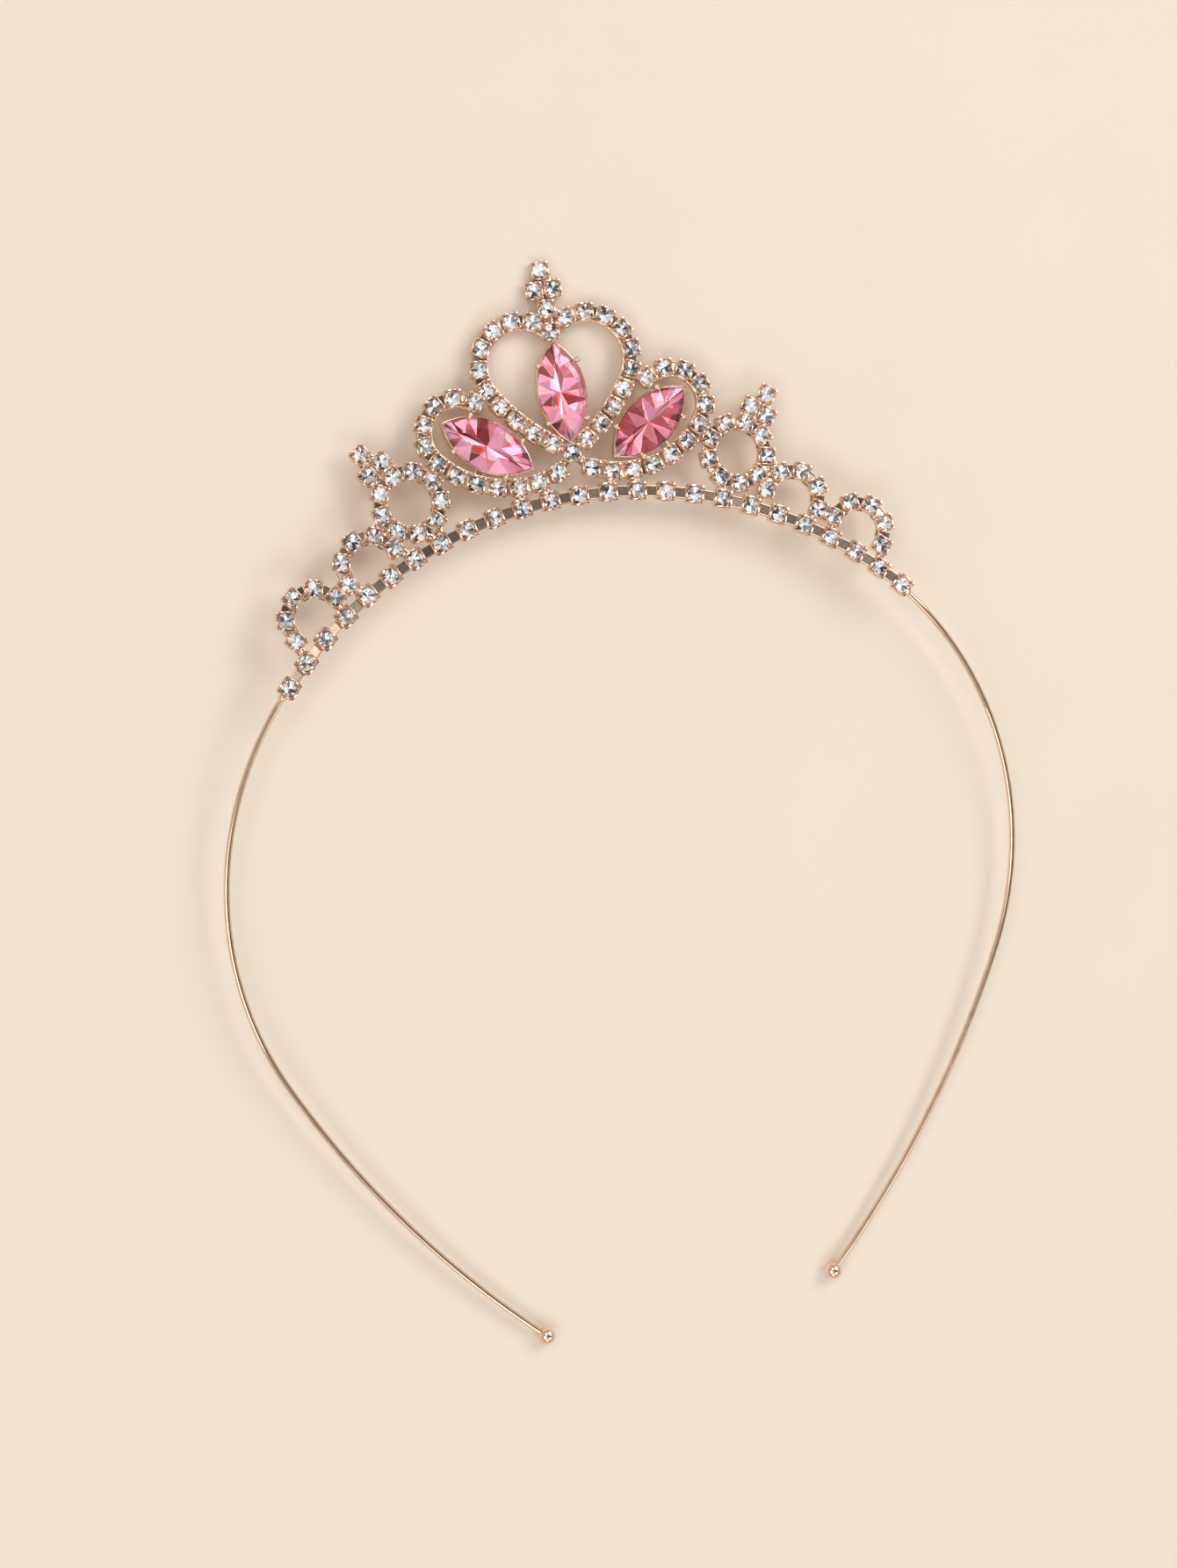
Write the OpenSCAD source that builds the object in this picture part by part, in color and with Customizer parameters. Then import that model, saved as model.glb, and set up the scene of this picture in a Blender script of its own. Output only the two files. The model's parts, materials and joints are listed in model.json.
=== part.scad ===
// Mini crown headband: a crown of rhinestone cup chain soldered to a thin wire band with ball tips.
// The crown is laid out flat, then tilted to the pose in which it lies on the band's two balls
// and on its middle cross. +Y is the crown's top, +Z the side of the stones, and +X the right side
// as seen from the stones' side.

/* [Band] */
// Diameter of the band's wire
wire_d = 1.2; // [0.9:0.1:1.6]
// Radius of the band over the temples, to the wire's middle
temple_r = 58; // [54:1:62]
// Turn of the band over each temple, in degrees
temple_turn = 67; // [60:1:72]
// Radius of the nearly straight tails, to the wire's middle
tail_r = 180; // [140:5:240]
// Turn of each tail, in degrees
tail_turn = 20; // [15:1:24]
// Angle between the crown's plane and the band's plane, in degrees
crown_tilt = 8.8; // [7:0.1:11]
// Diameter of a ball tip
ball_d = 3; // [2.4:0.1:4]
// Play between the wire and its hole in a ball tip
ball_play = 0.1; // [0.05:0.01:0.15]

/* [Cups and links] */
// Width of a square cup
cup_w = 3.2; // [3:0.05:3.4]
// Thickness of a cup's floor, and of links and solder bars
floor_t = 0.35; // [0.25:0.05:0.5]
// Height of the walls of cups and settings, from the cups' backs
wall_top = 1.5; // [1.3:0.05:1.7]
// Width of the links in the dense chain
link_w = 1.3; // [1:0.1:1.8]
// Width of the flat links in the base row
row_link_w = 2.3; // [1.8:0.1:2.8]
// Distance between two cups along a string of the dense chain, to which each string is evened out
chain_pitch = 3.56; // [3.4:0.02:3.9]
// Width of a solder bar between two strings
solder_w = 1.2; // [0.9:0.1:1.6]
// Distance up to which cups of two neighbouring strings are soldered together
solder_reach = 4.1; // [3.6:0.1:4.4]
// Gap between metal edges that solder closes
solder_gap = 0.2; // [0.1:0.02:0.3]
// Depth to which the band's wire is sunk into the backs of the base row
wire_sink = 0.2; // [0.1:0.05:0.3]
// Diameter of the solder bead where the band leaves the base row
bead_d = 1.6; // [1.4:0.1:2]

/* [Rhinestones] */
// Diameter of a rhinestone across its corners
stone_d = 2.6; // [2.4:0.05:2.7]
// Diameter of the stone's flat table
stone_table_d = 1.5; // [1.2:0.05:1.8]
// Diameter of the stone's flat back
stone_back_d = 1; // [0.6:0.05:1.4]
// Height of the stone's girdle above the cup's back
stone_girdle_z = 1.15; // [1:0.05:1.3]
// Height of the stone's table above the cup's back
stone_top_z = 1.85; // [1.6:0.05:2]
// Play between a stone and its cup
stone_play = 0.12; // [0.1:0.01:0.16]

/* [Base row] */
// Radius of the base row, to the middle of its cups
row_r = 71.5; // [68:0.5:76]
// Distance between two cups of the base row
row_pitch = 4.94; // [4.8:0.02:5.1]
// Number of cups on each side of the middle cup
row_side_count = 12; // [12:1:13]

/* [Heart] */
// Height of the heart's bottom cup above the row's middle cup
heart_rise = 7.1; // [6.8:0.1:7.6]
// Radius of the heart's lobes
lobe_r = 7.45; // [7.2:0.05:8]
// Distance of a lobe's centre from the crown's axis
lobe_x = 5.6; // [5.4:0.05:6]
// Height of the lobes' centres above the heart's bottom cup
lobe_rise = 15.1; // [14.5:0.1:16]
// Radius of the heart's sides
side_r = 33; // [28:1:42]

/* [Crosses] */
// Height of the middle cross's lowest cup above the heart's notch
cross_rise = 3.8; // [3.6:0.05:4.2]
// Distance between two rows of cups in a cross
cross_pitch = 3.15; // [3.05:0.05:3.4]
// Distance of the ring cross's side cups outside the ring
ring_cross_rise = 2.8; // [2.6:0.05:3.2]

/* [Side loops] */
// Radius of a loop's round end
loop_r = 5.9; // [5.6:0.1:6.4]
// Radius of a loop's long sweep under the heart
sweep_r = 17.2; // [16:0.2:18.4]
// Distance between the heart's lobe and a loop's round end
heart_loop_gap = 2.45; // [2.4:0.05:2.8]
// Distance between the base row and a loop's sweep
row_loop_gap = 3.3; // [3.1:0.05:3.6]

/* [Small rings] */
// Radius of a small ring
ring_r = 5.1; // [4.9:0.05:5.5]
// Height of a small ring's centre above the base row
ring_rise = 8.15; // [7.9:0.05:8.6]
// Distance between a loop and the small ring beside it
loop_ring_gap = 2.8; // [2.75:0.05:3.2]

/* [Arches] */
// Radius of an arch
arch_r = 4.8; // [4.6:0.05:5.2]
// Height of an arch's centre above the base row
arch_rise = 3.4; // [3.2:0.1:4]
// Distance between a small ring and the inner arch
ring_arch_gap = 2.25; // [2.2:0.05:2.6]
// Distance between the two arches
arch_gap = 2.95; // [2.9:0.05:3.4]

/* [Navettes] */
// Length of a pink navette stone
navette_l = 15.8; // [15:0.1:16.6]
// Width of a navette stone
navette_w = 7.8; // [7.2:0.1:8.2]
// Height of a navette's table above the cups' backs
navette_top_z = 3.4; // [3:0.1:4]
// Height of a navette's girdle above the cups' backs
navette_girdle_z = 1.9; // [1.7:0.1:2.1]
// Share of a navette's length and width that its table takes
navette_table = 0.58; // [0.5:0.01:0.66]
// Thickness of a navette setting's wall
setting_wall = 0.25; // [0.2:0.05:0.35]
// Play between a navette and its setting
navette_play = 0.12; // [0.1:0.01:0.15]
// Diameter of the round tips on a navette setting's prongs
prong_tip_d = 0.8; // [0.7:0.05:1]
// Place of the prongs along a navette, as a share of its half length
prong_along = 0.55; // [0.45:0.05:0.6]
// Distance between a side navette's setting and the middle of the loop's sweep
side_navette_gap = 2.2; // [2:0.05:2.4]
// Turn of a side navette's place round the sweep, in degrees from straight below
side_navette_turn = 23.5; // [22:0.1:25.5]
// Slant of a side navette, in degrees
side_navette_slant = 34.5; // [32:0.5:37]

/* [Hidden] */

rose_gold = [0.93, 0.74, 0.60];
crystal = [0.92, 0.93, 0.95];
pink = [0.93, 0.45, 0.60];

// Angles of the long sweep's start, of its join to the loop's round end, and of the loop's end
sweep_start = -113;
sweep_join = -39.6;
loop_end = 127;
// Half the turn of an arch, turn of a ring's first cup and lean of a ring's cross, from the row's radius
arch_half_turn = 92;
ring_turn = -5;
ring_cross_lean = -17;
// Number of corners of a navette setting's outline
setting_corners = 32;
// Step from the edge of a cup's floor in to its wall
wall_step = 0.05;
// Smoothness of wire, balls and prongs where they are drawn as meshes
round_fn = 32;
// Number of corners of a rhinestone, and of the pocket that holds it
stone_sides = 8;
// Diameter of a prong's shank as a share of its tip's
prong_shank = 0.7;
// Step by which a tail's wire is thinner than the temple's, and length that it reaches into it
tail_step = 0.03;
tail_lap = 0.6;
// Number of corners of a navette's outline, and share of its size that its narrow back takes
navette_corners = 16;
navette_back = 0.35;

wire_r = wire_d / 2;
cup_half = cup_w / 2;
pocket_r = stone_d / 2 + stone_play / cos(180 / stone_sides);
stone_back_z = floor_t + stone_play;
setting_w = navette_w + 2 * navette_play + 2 * setting_wall;
setting_l = setting_w * navette_l / navette_w;

// The base row's middle cup is the origin of the crown's flat layout, the row's centre is below it
row_step = row_pitch / row_r * 180 / PI;
row_centre = [0, -row_r];

// A place above the base row: [x, y], from degrees off the middle and a height above the row
function above_row(at, rise) =
    [(row_r + rise) * sin(at), row_centre.y + (row_r + rise) * cos(at)];
function row_angle(place) = atan2(place.x, place.y - row_centre.y);

// The place at one distance from point a and another from point b, on the right of the way from a to b
function place_by(a, a_gap, b, b_gap) =
    let (span = norm(b - a), ahead = (pow(a_gap, 2) - pow(b_gap, 2) + pow(span, 2)) / (2 * span))
    a + ahead * (b - a) / span + sqrt(pow(a_gap, 2) - pow(ahead, 2)) * [b.y - a.y, a.x - b.x] / span;

// An arc is [centre x, centre y, radius, first angle, last angle]; a cup is [x, y, heading]
function arc_length(arc) = abs(arc[4] - arc[3]) * PI / 180 * arc[2];
function arc_side(arc) = sign(arc[4] - arc[3]);
function on_arc(arc, run) =
    let (a = arc[3] + arc_side(arc) * run / arc[2] * 180 / PI)
    [arc[0] + arc[2] * cos(a), arc[1] + arc[2] * sin(a), a + 90];
function path_length(path, i = 0) = i < len(path) ? arc_length(path[i]) + path_length(path, i + 1) : 0;
function on_path(path, run, i = 0) =
    i == len(path) - 1 || run <= arc_length(path[i])
        ? on_arc(path[i], run)
        : on_path(path, run - arc_length(path[i]), i + 1);
function string_on(path) =
    let (steps = round(path_length(path) / chain_pitch))
    [for (k = [0 : steps]) on_path(path, path_length(path) * k / steps)];
function mirrored(cups) = [for (c = cups) [-c[0], c[1], -c[2]]];
function gap_between(a, b) = norm([a[0] - b[0], a[1] - b[1]]);
function last(cups) = cups[len(cups) - 1];

// Pairs of cups of two strings that solder joins: the closest pair, and all within the reach
function joints(string, other) =
    let (best = min([for (a = string, b = other) gap_between(a, b)]))
    [for (a = string, b = other) if (gap_between(a, b) <= max(best, solder_reach)) [a, b]];

// A pointed lens between two arcs: half its width at x, and corners round its outline
function lens_edge(length, width, x) =
    let (radius = (pow(length / 2, 2) + pow(width / 2, 2)) / width)
    sqrt(pow(radius, 2) - pow(x, 2)) - radius + width / 2;
function lens_points(length, width, corners) = [
    for (i = [0 : corners - 1])
        let (a = i * 360 / corners, x = length / 2 * cos(a))
        [x, sign(sin(a)) * lens_edge(length, width, x)]
];

// Base row, from left to right
row_cups = [for (k = [-row_side_count : row_side_count]) concat(above_row(k * row_step, 0), -k * row_step)];

// Heart: each side is a long arc that runs into a round lobe without a kink
lobe = [lobe_x, heart_rise + lobe_rise];
lobe_span = norm([lobe_x, lobe_rise]);
side_angle = atan2(lobe_rise, lobe_x)
    + acos((pow(side_r, 2) + pow(lobe_span, 2) - pow(side_r - lobe_r, 2)) / (2 * side_r * lobe_span));
side_centre = [0, heart_rise] + side_r * [cos(side_angle), sin(side_angle)];
side_join = atan2(lobe.y - side_centre.y, lobe.x - side_centre.x);
side_first = atan2(heart_rise - side_centre.y, -side_centre.x);
notch_rise = sqrt(pow(lobe_r, 2) - pow(lobe_x, 2));
heart_path = [
    [side_centre.x, side_centre.y, side_r, side_first, side_join],
    [lobe.x, lobe.y, lobe_r, side_join, atan2(notch_rise, -lobe_x)]
];
heart_bottom = [0, heart_rise, 0];
heart_notch = [0, lobe.y + notch_rise, 0];
heart_half = string_on(heart_path);
heart_side = [for (k = [1 : len(heart_half) - 2]) heart_half[k]];
heart_cups = concat([heart_bottom], heart_side, [heart_notch], mirrored(heart_side));

// A cross: its two side cups and its top cup, on a foot cup that it stands on
function cross_cups(foot, lean, first) = [
    for (place = [[-cup_half, first], [cup_half, first], [0, first + cross_pitch]])
        [foot[0] + place.x * cos(lean) - place.y * sin(lean),
            foot[1] + place.x * sin(lean) + place.y * cos(lean), lean]
];
cross_foot = [0, heart_notch.y + cross_rise, 0];
middle_cross = concat([cross_foot], cross_cups(cross_foot, 0, cross_pitch));

// Side loop: a long sweep under the heart and a round end that comes back to the heart's side
sweep_shift = (sweep_r - loop_r) * [cos(sweep_join), sin(sweep_join)];
loop_centre = place_by(row_centre + sweep_shift, row_r + sweep_r + row_loop_gap,
    lobe, lobe_r + loop_r + heart_loop_gap);
sweep_centre = loop_centre - sweep_shift;
loop_path = [
    [sweep_centre.x, sweep_centre.y, sweep_r, sweep_start, sweep_join],
    [loop_centre.x, loop_centre.y, loop_r, sweep_join, loop_end]
];
loop_cups = string_on(loop_path);

// Small ring with its cross
ring_centre = place_by(row_centre, row_r + ring_rise, loop_centre, loop_r + ring_r + loop_ring_gap);
ring_at = row_angle(ring_centre);
ring_count = round(2 * PI * ring_r / chain_pitch);
ring_cups = [
    for (k = [0 : ring_count - 1])
        on_arc([ring_centre.x, ring_centre.y, ring_r, 0, 360],
            (90 - ring_at + ring_turn + 360 * k / ring_count) * ring_r * PI / 180)
];
ring_cross = cross_cups(ring_centre, ring_cross_lean - ring_at, ring_r + ring_cross_rise);

// Arches
inner_centre = place_by(row_centre, row_r + arch_rise, ring_centre, ring_r + arch_r + ring_arch_gap);
outer_centre = place_by(row_centre, row_r + arch_rise, inner_centre, 2 * arch_r + arch_gap);
function arch_cups(centre) =
    let (up = 90 - row_angle(centre))
    string_on([[centre.x, centre.y, arch_r, up + arch_half_turn, up - arch_half_turn]]);
inner_arch = arch_cups(inner_centre);
outer_arch = arch_cups(outer_centre);

// Navettes: [x, y, slant of the long axis]
middle_navette = [0, (heart_bottom.y + heart_notch.y) / 2, 90];
side_navette_r = sweep_r - side_navette_gap - setting_w / 2;
side_navette = concat(
    sweep_centre + side_navette_r * [sin(side_navette_turn), -cos(side_navette_turn)], side_navette_slant);

// Band, in its own plane: it leaves the row's arc behind the last cup and runs down to the ball
band_start_at = row_side_count * row_step + cup_half / row_r * 180 / PI;
band_start = above_row(band_start_at, 0);
temple_centre = band_start - temple_r * [sin(band_start_at), cos(band_start_at)];
tail_from = band_start_at + temple_turn;
tail_start = temple_centre + temple_r * [sin(tail_from), cos(tail_from)];
tail_centre = tail_start - tail_r * [sin(tail_from), cos(tail_from)];
tail_to = tail_from + tail_turn;
band_end = tail_centre + tail_r * [sin(tail_to), cos(tail_to)];

// Pose at rest: the crown slopes down from the band's start to its cross, the band to its balls
wire_z = wire_sink - wire_r;
crown_reach = cross_foot.y + 2 * cross_pitch + cup_half - band_start.y;
band_reach = band_start.y - band_end.y;
rest_cos = crown_reach * sin(crown_tilt) + wire_z * cos(crown_tilt);
rest_sin = crown_reach * cos(crown_tilt) - wire_z * sin(crown_tilt) + band_reach;
band_slope = acos(ball_d / 2 / norm([rest_cos, rest_sin])) - atan2(rest_sin, rest_cos);
crown_slope = crown_tilt - band_slope;
bend_z = ball_d / 2 + band_reach * sin(band_slope);
crown_ahead = crown_reach * cos(crown_slope) + (wall_top - wire_z) * sin(crown_slope);
band_behind = band_reach * cos(band_slope) + ball_d / 2;
bend_y = (band_behind - crown_ahead) / 2;

// Puts the crown's flat layout, or the band's plane, in the pose at rest
module as_crown() {
    translate([0, bend_y, bend_z]) rotate([-crown_slope, 0, 0]) translate([0, -band_start.y, -wire_z])
        children();
}
module as_band() {
    translate([0, bend_y, bend_z]) rotate([band_slope, 0, 0]) translate([0, -band_start.y, 0])
        children();
}
module at_cup(cup) {
    translate([cup[0], cup[1]]) rotate(cup[2]) children();
}
module both_sides() {
    children();
    mirror([1, 0, 0]) children();
}

// Flat outlines of the metal
module cup_outlines(cups, width) {
    for (cup = cups) at_cup(cup) square(width, center = true);
}
module bar_outline(from, to, width) {
    translate([from[0], from[1]]) rotate(atan2(to[1] - from[1], to[0] - from[0]))
        translate([0, -width / 2]) square([gap_between(from, to), width]);
}
module link_outlines(cups, width, closed = false) {
    for (i = [0 : len(cups) - (closed ? 1 : 2)]) bar_outline(cups[i], cups[(i + 1) % len(cups)], width);
}
module setting_outline(place, width) {
    at_cup(place) polygon(lens_points(width * navette_l / navette_w, width, setting_corners));
}

// Closes the slits that solder fills
module soldered() {
    offset(delta = -solder_gap / 2) offset(delta = solder_gap / 2) children();
}

// All cups of the crown's middle, and all cups of its right side
side_strings = [heart_side, loop_cups, ring_cups, ring_cross, inner_arch, outer_arch];
side_cups = [for (cups = side_strings, cup = cups) cup];
middle_cups = concat(row_cups, [heart_bottom, heart_notch], middle_cross);

// Where the strings of the right side are soldered to each other, to the heart and to the base row
neighbours = [
    [heart_side, loop_cups], [heart_side, middle_cross], [loop_cups, row_cups], [ring_cups, loop_cups],
    [ring_cups, row_cups], [ring_cups, ring_cross], [ring_cups, inner_arch], [inner_arch, row_cups],
    [inner_arch, outer_arch], [outer_arch, row_cups], [loop_cups, [side_navette]]
];
solder_joints = concat(
    [for (pair = neighbours) each joints(pair[0], pair[1])],
    [
        [heart_bottom, heart_side[0]], [last(heart_side), heart_notch], [heart_bottom, loop_cups[0]],
        [ring_cross[0], ring_cross[2]], [ring_cross[1], ring_cross[2]]
    ]);

module side_floors() {
    cup_outlines(side_cups, cup_w);
    link_outlines(heart_side, link_w);
    link_outlines(loop_cups, link_w);
    link_outlines(ring_cups, link_w, closed = true);
    link_outlines(inner_arch, link_w);
    link_outlines(outer_arch, link_w);
    for (joint = solder_joints) bar_outline(joint[0], joint[1], solder_w);
    setting_outline(side_navette, setting_w);
}
module floor_layer() {
    linear_extrude(floor_t) soldered() {
        cup_outlines(middle_cups, cup_w);
        link_outlines(row_cups, row_link_w);
        link_outlines(concat([heart_notch], middle_cross), link_w);
        setting_outline(middle_navette, setting_w);
        both_sides() side_floors();
    }
}

// Walls of cups and settings, before the stones' pockets are sunk
module wall_layer() {
    translate([0, 0, floor_t / 2]) linear_extrude(wall_top - floor_t / 2) soldered() {
        cup_outlines(middle_cups, cup_w - 2 * wall_step);
        setting_outline(middle_navette, setting_w - 2 * wall_step);
        both_sides() {
            cup_outlines(side_cups, cup_w - 2 * wall_step);
            setting_outline(side_navette, setting_w - 2 * wall_step);
        }
    }
}
module cup_pockets(cups) {
    for (cup = cups) at_cup(cup) rotate(180 / stone_sides) translate([0, 0, floor_t])
        cylinder(r = pocket_r, h = wall_top, $fn = stone_sides);
}
module setting_pocket(place) {
    translate([0, 0, floor_t]) linear_extrude(wall_top) setting_outline(place, setting_w - 2 * setting_wall);
}
module crown() {
    difference() {
        union() {
            floor_layer();
            wall_layer();
        }
        cup_pockets(middle_cups);
        setting_pocket(middle_navette);
        both_sides() {
            cup_pockets(side_cups);
            setting_pocket(side_navette);
        }
    }
}

// Four prongs round a navette, each a shank with a round tip over the stone's edge
module prongs(navette) {
    x = prong_along * setting_l / 2;
    y = lens_edge(setting_l, setting_w, x);
    foot_z = floor_t / 2;
    at_cup(navette) for (end = [-1, 1], side = [-1, 1]) translate([end * x, side * y]) {
        translate([0, 0, foot_z])
            cylinder(d = prong_tip_d * prong_shank, h = navette_girdle_z - foot_z, $fn = round_fn);
        translate([0, 0, navette_girdle_z]) sphere(d = prong_tip_d, $fn = round_fn);
    }
}

// A stretch of round wire on an arc
module wire_arc(centre, radius, first, turn, d = wire_d) {
    translate([centre.x, centre.y]) rotate(first)
        rotate_extrude(angle = turn, $fn = 4 * round_fn) translate([radius, 0])
            circle(d = d, $fn = round_fn);
}
module row_wire() {
    translate([0, 0, wire_z]) wire_arc(row_centre, row_r, 90 - band_start_at, 2 * band_start_at);
}
module side_wire() {
    wire_arc(temple_centre, temple_r, 90 - tail_from, temple_turn);
    wire_arc(tail_centre, tail_r, 90 - tail_to, tail_turn + tail_lap / tail_r * 180 / PI, wire_d - tail_step);
    translate([band_start.x, band_start.y]) sphere(d = bead_d, $fn = round_fn);
}

module frame() {
    color(rose_gold) {
        as_crown() {
            crown();
            prongs(middle_navette);
            both_sides() prongs(side_navette);
            row_wire();
        }
        as_band() both_sides() side_wire();
    }
}

// A ball on the wire's end, drilled to its middle for the wire
module ball_tip() {
    color(rose_gold) as_band() translate([band_end.x, band_end.y]) difference() {
        sphere(d = ball_d, $fn = round_fn);
        rotate(90 - tail_to) rotate([-90, 0, 0]) translate([0, 0, -ball_play])
            cylinder(d = wire_d + 2 * ball_play, h = ball_d, $fn = round_fn);
    }
}
module ball_tip_right() ball_tip();
module ball_tip_left() mirror([1, 0, 0]) ball_tip();

// A closed solid through three rings of corners, from the back up to the table
function ring_faces(n, from) =
    [for (i = [0 : n - 1]) [from + i, from + (i + 1) % n, from + n + (i + 1) % n, from + n + i]];
module cut_stone(back, girdle, table) {
    n = len(back);
    polyhedron(concat(back, girdle, table), concat(
        [[for (i = [0 : n - 1]) i]],
        [for (f = concat(ring_faces(n, 0), ring_faces(n, n))) [f[3], f[2], f[1], f[0]]],
        [[for (i = [n - 1 : -1 : 0]) 2 * n + i]]));
}

function round_corners(d, z) =
    [for (i = [0 : stone_sides - 1])
        let (a = (i + 0.5) * 360 / stone_sides) [d / 2 * cos(a), d / 2 * sin(a), z]];
module rhinestones(cups) {
    color(crystal) as_crown() for (cup = cups) at_cup(cup) cut_stone(
        round_corners(stone_back_d, stone_back_z),
        round_corners(stone_d, stone_girdle_z),
        round_corners(stone_table_d, stone_top_z));
}
module row_stones() rhinestones(row_cups);
module heart_stones() rhinestones(heart_cups);
module cross_stones() rhinestones(middle_cross);
module loop_stones_right() rhinestones(loop_cups);
module loop_stones_left() rhinestones(mirrored(loop_cups));
module ring_stones_right() rhinestones(concat(ring_cups, ring_cross));
module ring_stones_left() rhinestones(mirrored(concat(ring_cups, ring_cross)));
module arch_stones_right() rhinestones(concat(inner_arch, outer_arch));
module arch_stones_left() rhinestones(mirrored(concat(inner_arch, outer_arch)));

function lens_corners(share, z) =
    [for (p = lens_points(navette_l * share, navette_w * share, navette_corners)) [p.x, p.y, z]];
module navette(place) {
    color(pink) as_crown() at_cup(place) cut_stone(
        lens_corners(navette_back, floor_t + navette_play),
        lens_corners(1, navette_girdle_z),
        lens_corners(navette_table, navette_top_z));
}
module navette_middle() navette(middle_navette);
module navette_right() navette(side_navette);
module navette_left() mirror([1, 0, 0]) navette(side_navette);

frame();
ball_tip_right();
ball_tip_left();
navette_middle();
navette_right();
navette_left();
row_stones();
heart_stones();
cross_stones();
loop_stones_right();
loop_stones_left();
ring_stones_right();
ring_stones_left();
arch_stones_right();
arch_stones_left();
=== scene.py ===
import json
import math

import bmesh
import bpy
from mathutils import Matrix, Vector

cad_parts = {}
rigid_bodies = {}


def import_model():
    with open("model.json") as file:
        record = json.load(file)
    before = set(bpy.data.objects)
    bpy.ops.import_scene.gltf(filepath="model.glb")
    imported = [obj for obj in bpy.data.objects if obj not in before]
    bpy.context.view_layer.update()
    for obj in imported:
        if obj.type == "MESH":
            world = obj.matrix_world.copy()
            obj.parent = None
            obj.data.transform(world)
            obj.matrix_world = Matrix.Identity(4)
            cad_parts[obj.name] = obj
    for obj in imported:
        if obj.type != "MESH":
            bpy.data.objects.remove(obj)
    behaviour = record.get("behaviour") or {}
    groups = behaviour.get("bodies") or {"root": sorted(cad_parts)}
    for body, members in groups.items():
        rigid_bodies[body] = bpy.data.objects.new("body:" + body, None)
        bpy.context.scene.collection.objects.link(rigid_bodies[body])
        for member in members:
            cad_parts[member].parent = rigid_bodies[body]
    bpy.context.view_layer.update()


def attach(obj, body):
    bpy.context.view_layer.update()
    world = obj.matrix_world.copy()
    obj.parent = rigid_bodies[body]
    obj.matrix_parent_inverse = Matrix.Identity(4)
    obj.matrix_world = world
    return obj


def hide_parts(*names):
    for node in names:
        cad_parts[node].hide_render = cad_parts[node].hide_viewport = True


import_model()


# The crown's layout, in millimetres and degrees on its flat face: +X right, +Y to the top, +Z to the
# stones. Its origin is the back of the base row's middle cup.

# Cups, their strings and the solder between them
CUP = 3.2
CHAIN_PITCH = 3.56
SOLDER_REACH = 4.1
WALL_TOP = 1.5

# The base row
ROW_RADIUS = 71.5
ROW_PITCH = 4.94
ROW_SIDE_CUPS = 12

# The heart
HEART_RISE = 7.1
LOBE_RADIUS = 7.45
LOBE_X = 5.6
LOBE_RISE = 15.1
SIDE_RADIUS = 33

# The crosses on the heart and on the small rings
CROSS_RISE = 3.8
CROSS_PITCH = 3.15
RING_CROSS_RISE = 2.8
RING_CROSS_LEAN = -17

# The side loops: a long sweep under the heart and a round end
LOOP_RADIUS = 5.9
SWEEP_RADIUS = 17.2
SWEEP_START = -113
SWEEP_JOIN = -39.6
LOOP_END = 127
HEART_LOOP_GAP = 2.45
ROW_LOOP_GAP = 3.3

# The small rings
RING_RADIUS = 5.1
RING_RISE = 8.15
RING_TURN = -5
LOOP_RING_GAP = 2.8

# The arches
ARCH_RADIUS = 4.8
ARCH_RISE = 3.4
ARCH_HALF_TURN = 92
RING_ARCH_GAP = 2.25
ARCH_GAP = 2.95

# The navettes and their settings
NAVETTE_LENGTH = 15.8
NAVETTE_WIDTH = 7.8
NAVETTE_GIRDLE = 1.9
NAVETTE_TOP = 3.4
NAVETTE_PLAY = 0.12
SETTING_WALL = 0.25
SIDE_NAVETTE_GAP = 2.2
SIDE_NAVETTE_TURN = 23.5
SIDE_NAVETTE_SLANT = 34.5

# The band; its wire looks a little thinner than it is
WIRE = 1.2
WIRE_SEEN = 1.06
WIRE_SINK = 0.2
BALL = 3
BALL_PLAY = 0.1
BEAD = 1.6
TEMPLE_RADIUS = 58
TEMPLE_TURN = 67
TAIL_RADIUS = 180
TAIL_TURN = 20
CROWN_TILT = 8.8


def sin(degrees):
    return math.sin(math.radians(degrees))


def cos(degrees):
    return math.cos(math.radians(degrees))


def bearing(step):
    """The direction of a flat step, in degrees."""
    return math.degrees(math.atan2(step[1], step[0]))


def between(a, b):
    """The distance between two cups or places."""
    return math.hypot(a[0] - b[0], a[1] - b[1])


row_centre = Vector((0, -ROW_RADIUS))


def above_row(at, rise):
    """The place at a height above the base row, at an angle from the crown's middle."""
    return row_centre + (ROW_RADIUS + rise) * Vector((sin(at), cos(at)))


def row_angle(place):
    """A place's angle from the crown's middle, seen from the row's centre."""
    return math.degrees(math.atan2(place.x, place.y - row_centre.y))


def place_by(a, a_gap, b, b_gap):
    """The place at one distance from a and another from b, on the right of the way from a to b."""
    way = b - a
    ahead = (a_gap ** 2 - b_gap ** 2 + way.length_squared) / (2 * way.length)
    aside = math.sqrt(a_gap ** 2 - ahead ** 2)
    return a + (ahead * way + aside * Vector((way.y, -way.x))) / way.length


def arc_length(arc):
    return abs(math.radians(arc[3] - arc[2])) * arc[1]


def on_arc(arc, run):
    """A cup on an arc (centre, radius, first angle, last angle): x, y and heading."""
    centre, radius, first, last = arc
    angle = first + math.copysign(math.degrees(run / radius), last - first)
    return (centre.x + radius * cos(angle), centre.y + radius * sin(angle), angle + 90)


def string_on(path):
    """Cups evened out along a path of arcs."""
    length = sum(arc_length(arc) for arc in path)
    steps = round(length / CHAIN_PITCH)
    cups = []
    for k in range(steps + 1):
        run = length * k / steps
        for arc in path:
            if run <= arc_length(arc) or arc is path[-1]:
                cups.append(on_arc(arc, run))
                break
            run -= arc_length(arc)
    return cups


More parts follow.
